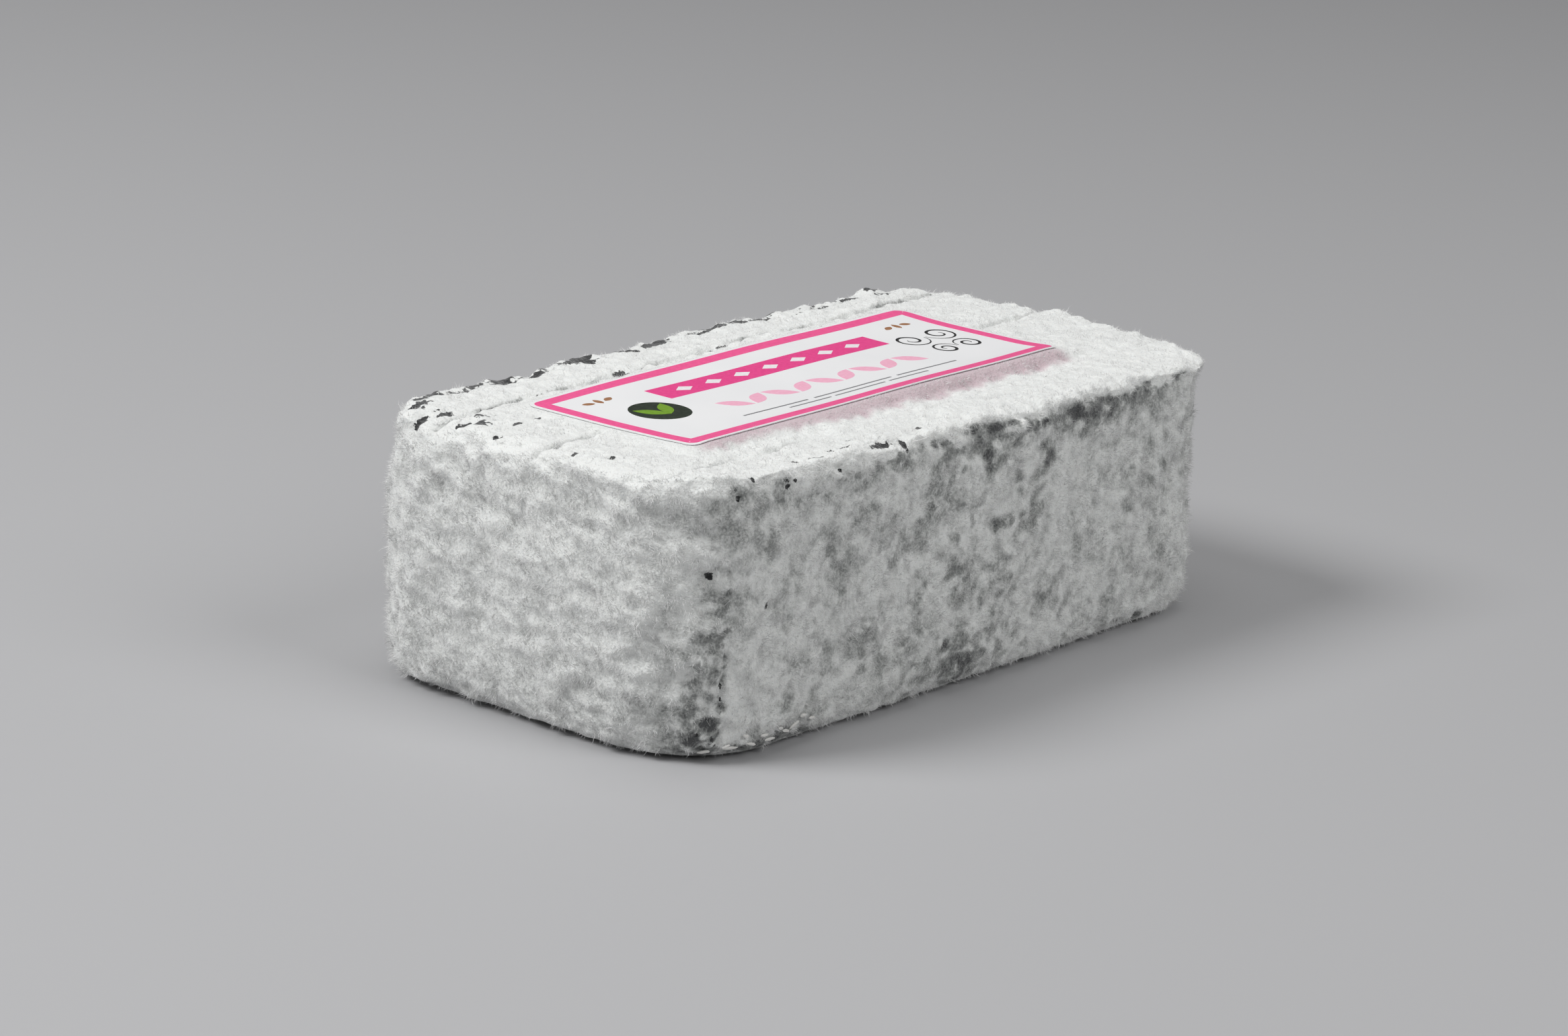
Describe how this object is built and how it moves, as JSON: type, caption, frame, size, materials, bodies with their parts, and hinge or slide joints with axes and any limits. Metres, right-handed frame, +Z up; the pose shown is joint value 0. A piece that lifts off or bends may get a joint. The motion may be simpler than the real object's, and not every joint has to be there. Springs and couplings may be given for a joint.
{
  "type": "ash-coated sheep cheese",
  "caption": "Brick-shaped soft cheese with rounded corners, a lumpy white bloomy rind over grey ash, and a thin bordered paper label lying on its top.",
  "frame": {"origin": "middle of the cheese's box at the height of the flat base it rests on", "axes": "+X along the cheese's length, +Y across its width, +Z up out of the labelled top"},
  "size_m": [0.1168, 0.0592, 0.037],
  "materials": {
    "rind": "soft matte white mould bloom over grey and black ash",
    "paper": "satin white printed paper with a pink border"
  },
  "bodies": {
    "root": {"cheese": "rind", "label": "paper"}
  },
  "joints": []
}
